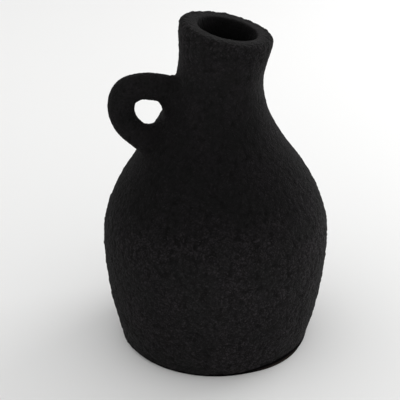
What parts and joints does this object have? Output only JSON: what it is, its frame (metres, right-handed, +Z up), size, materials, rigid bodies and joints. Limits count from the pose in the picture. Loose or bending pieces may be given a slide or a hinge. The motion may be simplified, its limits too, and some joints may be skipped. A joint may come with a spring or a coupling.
{
  "type": "vase",
  "caption": "Bottle-shaped clay vase with a wide belly, a leaning neck, a thick slanting lip and a round loop handle, in a black sandy coat; it holds stems.",
  "frame": {"origin": "on the plane that the vase stands on, under the middle of its widest ring", "axes": "+Z up through the neck, +X the way the neck leans and the mouth slants down; the handle stands on the -X side, set 14 degrees off the XZ plane towards -Y, the side that the picture shows"},
  "size_m": [0.14, 0.14, 0.2104],
  "materials": {
    "sand_coat": "matte black coat with sand in it, pebbly",
    "bare_clay": "matte unglazed terracotta"
  },
  "bodies": {
    "root": {"base_slab": "bare_clay", "lower_bowl": "sand_coat", "shoulder_dome": "sand_coat", "neck_collar": "sand_coat", "rim_coil": "sand_coat", "handle_loop": "sand_coat", "upper_root_wad": "sand_coat", "lower_root_wad": "sand_coat"}
  },
  "joints": []
}
